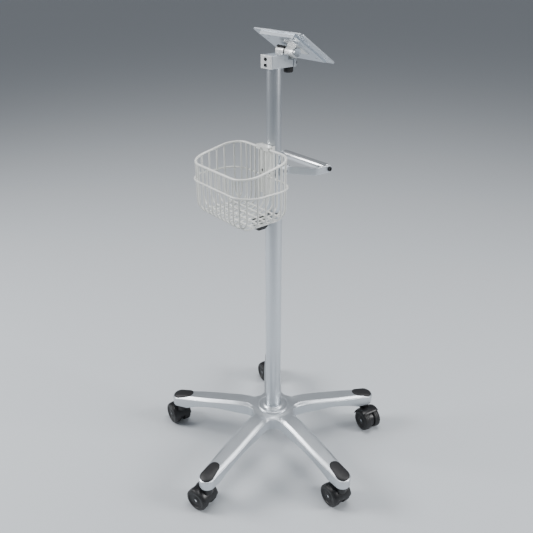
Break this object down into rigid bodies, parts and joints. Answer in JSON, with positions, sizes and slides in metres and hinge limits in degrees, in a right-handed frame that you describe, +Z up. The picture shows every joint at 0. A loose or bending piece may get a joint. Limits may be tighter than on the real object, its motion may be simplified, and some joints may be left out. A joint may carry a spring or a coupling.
{
  "type": "rolling medical equipment stand",
  "caption": "Rolling stand for a portable ultrasound or monitor: star base on casters, telescoping column, wire basket, push handle, tilting device plate.",
  "frame": {"origin": "on the floor, on the column's axis", "axes": "+Z up along the column, +Y towards the push handle, basket towards -Y, +X along the grip to the right of the person who pushes"},
  "size_m": [0.5706, 0.5794, 1.0681],
  "materials": {
    "silver_paint": "satin silver paint on cast aluminium",
    "anodised_aluminium": "satin clear anodised tube",
    "wire_coating": "pale grey powder coat on steel wire",
    "white_paint": "gloss white-silver paint",
    "plate_aluminium": "brushed aluminium sheet",
    "bright_steel": "polished",
    "dark_screw": "black oxide",
    "black_plastic": "fine grained",
    "caster_plastic": "semi-gloss nylon",
    "caster_wheel": "nylon wheel with soft tread"
  },
  "bodies": {
    "base": {"star_base": "silver_paint", "column_flange": "silver_paint", "arm_caps": "black_plastic", "stem_sockets": "bright_steel", "foot_plug": "anodised_aluminium", "base_bolt": "bright_steel", "lower_tube": "anodised_aluminium", "guide_bush": "black_plastic", "clamp_boss": "anodised_aluminium", "brake_pad": "black_plastic"},
    "column_knob": {"clamp_knob": "black_plastic"},
    "slider": {"slide_ring": "black_plastic"},
    "mast": {"upper_tube": "anodised_aluminium", "handle_clamp": "silver_paint", "clamp_saddle": "silver_paint", "clamp_screws": "dark_screw", "handle_arm_left": "silver_paint", "handle_arm_right": "silver_paint", "arm_screws": "dark_screw", "grip_tube": "bright_steel", "grip_plugs": "black_plastic", "grip_screws": "dark_screw", "basket_bracket": "wire_coating", "basket_rim": "wire_coating", "basket_ring": "wire_coating", "basket_end_wires": "wire_coating", "basket_side_wires": "wire_coating", "basket_floor_wires": "wire_coating", "head_block": "silver_paint", "head_end_plate": "white_paint", "head_screws": "dark_screw", "post_cap": "silver_paint"},
    "swivel": {"swivel_head": "white_paint", "tilt_axle": "bright_steel"},
    "post_knob": {"swivel_knob": "black_plastic"},
    "lever": {"tilt_lever": "black_plastic"},
    "tilting_plate": {"tilt_saddle": "white_paint", "inner_plate": "plate_aluminium", "outer_plate": "plate_aluminium", "plate_screws": "dark_screw"},
    "caster_1": {"caster_1_hood": "caster_plastic", "caster_1_pins": "bright_steel"},
    "caster_1_left": {"caster_1_wheel_left": "caster_wheel"},
    "caster_1_right": {"caster_1_wheel_right": "caster_wheel"},
    "caster_2": {"caster_2_hood": "caster_plastic", "caster_2_pins": "bright_steel"},
    "caster_2_left": {"caster_2_wheel_left": "caster_wheel"},
    "caster_2_right": {"caster_2_wheel_right": "caster_wheel"},
    "caster_3": {"caster_3_hood": "caster_plastic", "caster_3_pins": "bright_steel"},
    "caster_3_left": {"caster_3_wheel_left": "caster_wheel"},
    "caster_3_right": {"caster_3_wheel_right": "caster_wheel"},
    "caster_4": {"caster_4_hood": "caster_plastic", "caster_4_pins": "bright_steel"},
    "caster_4_left": {"caster_4_wheel_left": "caster_wheel"},
    "caster_4_right": {"caster_4_wheel_right": "caster_wheel"},
    "caster_5": {"caster_5_hood": "caster_plastic", "caster_5_pins": "bright_steel"},
    "caster_5_left": {"caster_5_wheel_left": "caster_wheel"},
    "caster_5_right": {"caster_5_wheel_right": "caster_wheel"}
  },
  "joints": [
    {"name": "column_height", "type": "slide", "parent": "base", "child": "slider", "axis": [0, 0, 1], "range_m": [0, 0.2]},
    {"name": "column_turn", "type": "hinge", "parent": "slider", "child": "mast", "pos_m": [0, 0, 0.442], "axis": [0, 0, 1], "continuous": true},
    {"name": "clamp_knob_turn", "type": "hinge", "parent": "base", "child": "column_knob", "pos_m": [0, -0.04, 0.669], "axis": [0, -1, 0], "range_deg": [0, 180]},
    {"name": "head_swivel", "type": "hinge", "parent": "mast", "child": "swivel", "pos_m": [0, 0.0383, 1], "axis": [0, 0, 1], "range_deg": [-12, 12]},
    {"name": "swivel_knob_turn", "type": "hinge", "parent": "swivel", "child": "post_knob", "pos_m": [0, 0.0383, 0.99], "axis": [0, 0, 1], "range_deg": [0, 180]},
    {"name": "tilt_lever_turn", "type": "hinge", "parent": "swivel", "child": "lever", "pos_m": [-0.004, 0.0383, 1.025], "axis": [1, 0, 0], "range_deg": [0, 35]},
    {"name": "plate_tilt", "type": "hinge", "parent": "swivel", "child": "tilting_plate", "pos_m": [0, 0.0383, 1.025], "axis": [1, 0, 0], "range_deg": [-35, 34]},
    {"name": "caster_1_swivel", "type": "hinge", "parent": "base", "child": "caster_1", "pos_m": [0.27172, -0.01234, 0.08], "axis": [0, 0, 1], "continuous": true},
    {"name": "caster_1_roll_left", "type": "hinge", "parent": "caster_1", "child": "caster_1_left", "pos_m": [0.2508, -0.01051, 0.029], "axis": [-0.0872, -0.9962, 0], "continuous": true},
    {"name": "caster_1_roll_right", "type": "hinge", "parent": "caster_1", "child": "caster_1_right", "pos_m": [0.2508, -0.01051, 0.029], "axis": [-0.0872, -0.9962, 0], "continuous": true},
    {"name": "caster_2_swivel", "type": "hinge", "parent": "base", "child": "caster_2", "pos_m": [0.0957, 0.25461, 0.08], "axis": [0, 0, 1], "continuous": true},
    {"name": "caster_2_roll_left", "type": "hinge", "parent": "caster_2", "child": "caster_2_left", "pos_m": [0.11638, 0.25096, 0.029], "axis": [0.1736, 0.9848, 0], "continuous": true},
    {"name": "caster_2_roll_right", "type": "hinge", "parent": "caster_2", "child": "caster_2_right", "pos_m": [0.11638, 0.25096, 0.029], "axis": [0.1736, 0.9848, 0], "continuous": true},
    {"name": "caster_3_swivel", "type": "hinge", "parent": "base", "child": "caster_3", "pos_m": [-0.21257, 0.1697, 0.08], "axis": [0, 0, 1], "continuous": true},
    {"name": "caster_3_roll_left", "type": "hinge", "parent": "caster_3", "child": "caster_3_left", "pos_m": [-0.23311, 0.17406, 0.029], "axis": [-0.2079, -0.9781, 0], "continuous": true},
    {"name": "caster_3_roll_right", "type": "hinge", "parent": "caster_3", "child": "caster_3_right", "pos_m": [-0.23311, 0.17406, 0.029], "axis": [-0.2079, -0.9781, 0], "continuous": true},
    {"name": "caster_4_swivel", "type": "hinge", "parent": "base", "child": "caster_4", "pos_m": [-0.22708, -0.14973, 0.08], "axis": [0, 0, 1], "continuous": true},
    {"name": "caster_4_roll_left", "type": "hinge", "parent": "caster_4", "child": "caster_4_left", "pos_m": [-0.24796, -0.14754, 0.029], "axis": [-0.1045, -0.9945, 0], "continuous": true},
    {"name": "caster_4_roll_right", "type": "hinge", "parent": "caster_4", "child": "caster_4_right", "pos_m": [-0.24796, -0.14754, 0.029], "axis": [-0.1045, -0.9945, 0], "continuous": true},
    {"name": "caster_5_swivel", "type": "hinge", "parent": "base", "child": "caster_5", "pos_m": [0.07223, -0.26223, 0.08], "axis": [0, 0, 1], "continuous": true},
    {"name": "caster_5_roll_left", "type": "hinge", "parent": "caster_5", "child": "caster_5_left", "pos_m": [0.05195, -0.26767, 0.029], "axis": [0.2588, -0.9659, 0], "continuous": true},
    {"name": "caster_5_roll_right", "type": "hinge", "parent": "caster_5", "child": "caster_5_right", "pos_m": [0.05195, -0.26767, 0.029], "axis": [0.2588, -0.9659, 0], "continuous": true}
  ]
}
